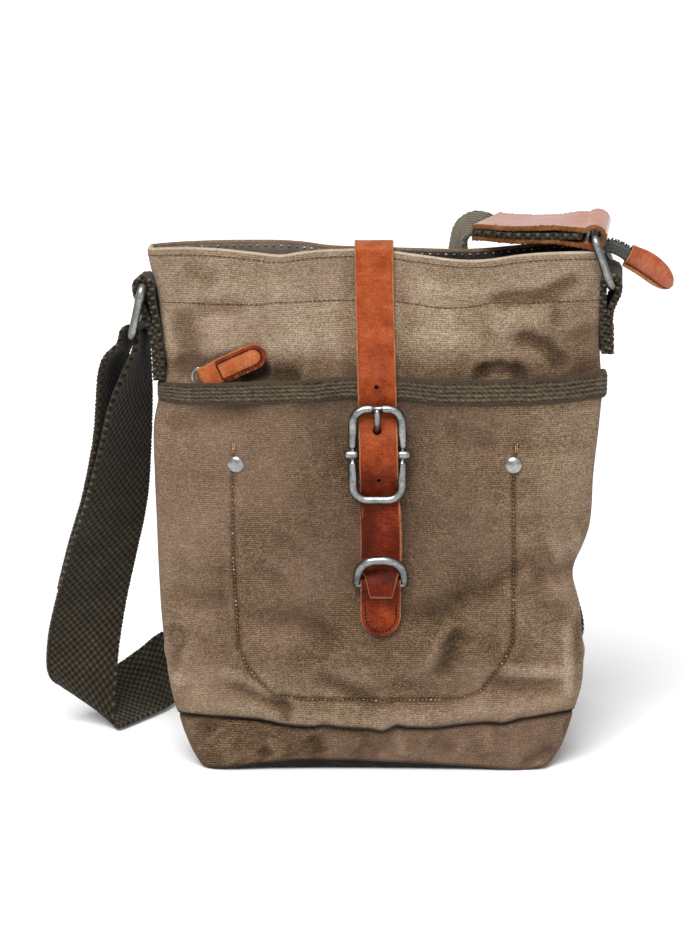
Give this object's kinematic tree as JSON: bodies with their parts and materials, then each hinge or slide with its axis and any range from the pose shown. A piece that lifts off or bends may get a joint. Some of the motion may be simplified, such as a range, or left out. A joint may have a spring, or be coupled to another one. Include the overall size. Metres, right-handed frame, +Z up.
{
  "type": "canvas shoulder bag",
  "caption": "Upright waxed canvas shoulder bag with a slip pocket, a buckled leather closure strap and a webbing shoulder strap on metal rings.",
  "frame": {"origin": "centre of the flat base, where the bag stands", "axes": "+Z up, the front with the buckle faces -Y, +X to the right seen from the front"},
  "size_m": [0.3576, 0.1713, 0.3155],
  "materials": {
    "canvas": "waxed cotton canvas, khaki brown, rubbed",
    "lining": "plain woven lining, near black",
    "webbing": "heavy cotton webbing, dark olive",
    "leather": "vegetable tanned leather, tan orange, raw edges",
    "pewter": "antique pewter plate with dark patina",
    "rivet": "bright worn steel",
    "zip": "woven zip tape, charcoal"
  },
  "bodies": {
    "root": {"body_panel": "canvas", "mouth_band": "canvas", "base_panel": "canvas", "base_floor": "canvas", "mouth_facing": "lining", "pocket_panel": "canvas", "pocket_binding": "webbing", "closure_strap": "leather", "buckle_tab": "leather", "buckle_frame": "pewter", "buckle_prong": "pewter", "keeper_ring": "pewter", "keeper_tab": "leather", "rivet_left": "rivet", "rivet_right": "rivet", "side_tab_left": "webbing", "side_tab_right": "webbing", "ring_left": "pewter", "ring_right": "pewter", "shoulder_strap": "webbing", "strap_sleeve": "leather", "zip_tape": "zip", "zip_cap": "leather", "fob_tab": "leather", "fob_ring": "rivet"}
  },
  "joints": []
}
